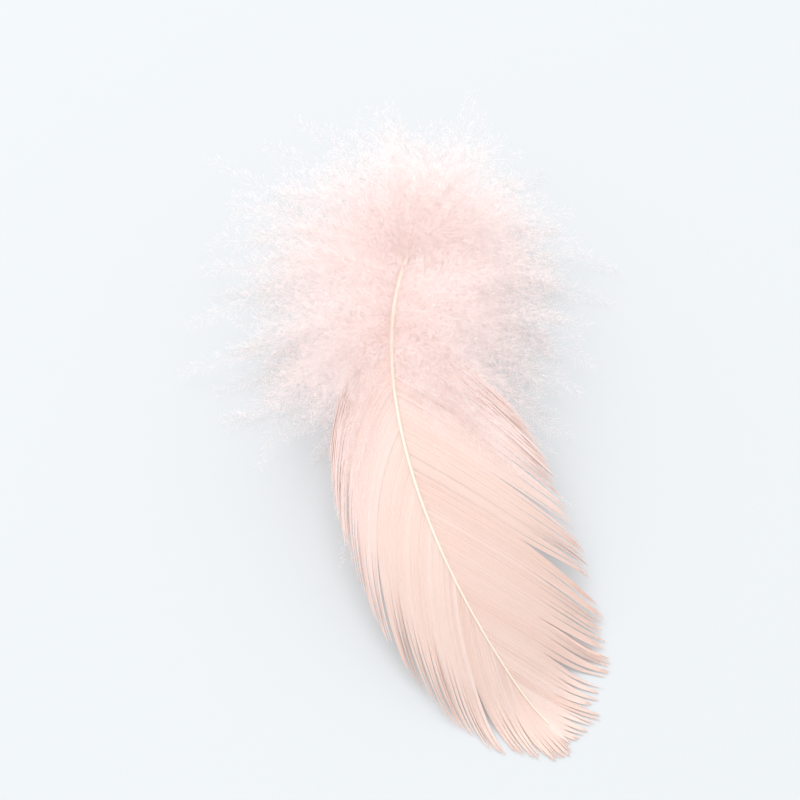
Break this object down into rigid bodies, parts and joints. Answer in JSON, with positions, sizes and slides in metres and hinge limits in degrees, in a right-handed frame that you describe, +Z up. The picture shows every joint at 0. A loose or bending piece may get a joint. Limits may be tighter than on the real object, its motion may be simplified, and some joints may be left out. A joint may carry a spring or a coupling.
{
  "type": "goose feather",
  "caption": "Curved body feather dyed pale pink: a thin cream shaft, a broad and a narrow side of fine barbs with a ragged rounded tip, and fluffy down at the quill end.",
  "frame": {"origin": "middle of the underside of the feather's box, on the surface that it lies on", "axes": "+Y from the vane's tip towards the quill, +Z up out of the feather's back, +X towards the broad side of the vane"},
  "size_m": [0.0703, 0.1237, 0.0348],
  "materials": {
    "vane": "soft matte barbs dyed pale pink, with a faint silky sheen along the barbs",
    "down": "loose pale pink down, nearly white where it is thin",
    "quill": "smooth cream keratin, semi-gloss and a little translucent"
  },
  "bodies": {
    "root": {"feather": "vane"}
  },
  "joints": []
}
